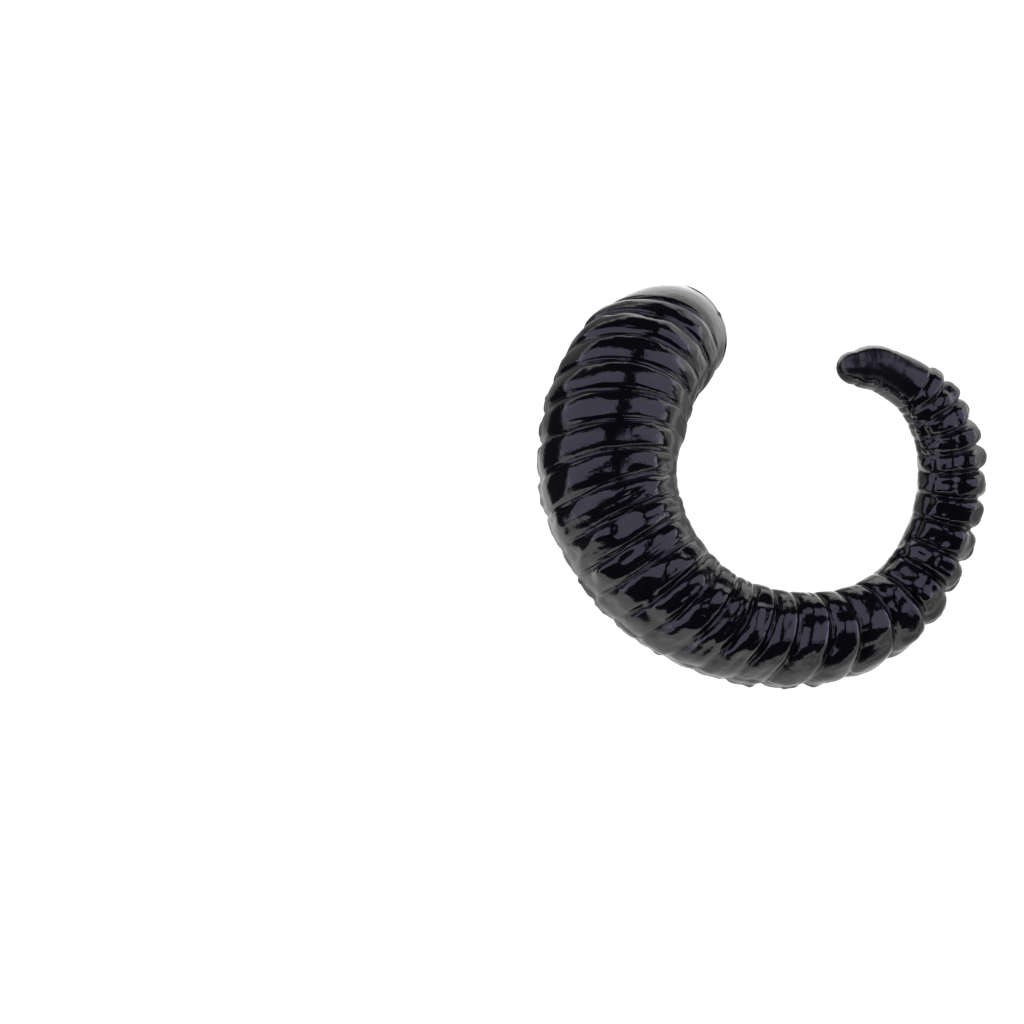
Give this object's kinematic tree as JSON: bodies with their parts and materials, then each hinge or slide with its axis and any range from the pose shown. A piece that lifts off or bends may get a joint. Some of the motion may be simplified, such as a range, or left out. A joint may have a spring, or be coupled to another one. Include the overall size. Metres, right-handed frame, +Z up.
{
  "type": "costume ram horn",
  "caption": "Hollow ribbed ram horn for a costume headpiece, curled in an open ring from a plain round collar to a smooth tip that stands off the surface.",
  "frame": {"origin": "centre of the bounding box in plan, on the surface that the horn lies on", "axes": "+Z up from that surface, +X across the curl from the thick ribs to the thin ones, +Y towards the open collar"},
  "size_m": [0.172, 0.166, 0.0658],
  "materials": {
    "black_latex": "glossy black skin of cast latex"
  },
  "bodies": {
    "root": {"horn_shell": "black_latex"}
  },
  "joints": []
}
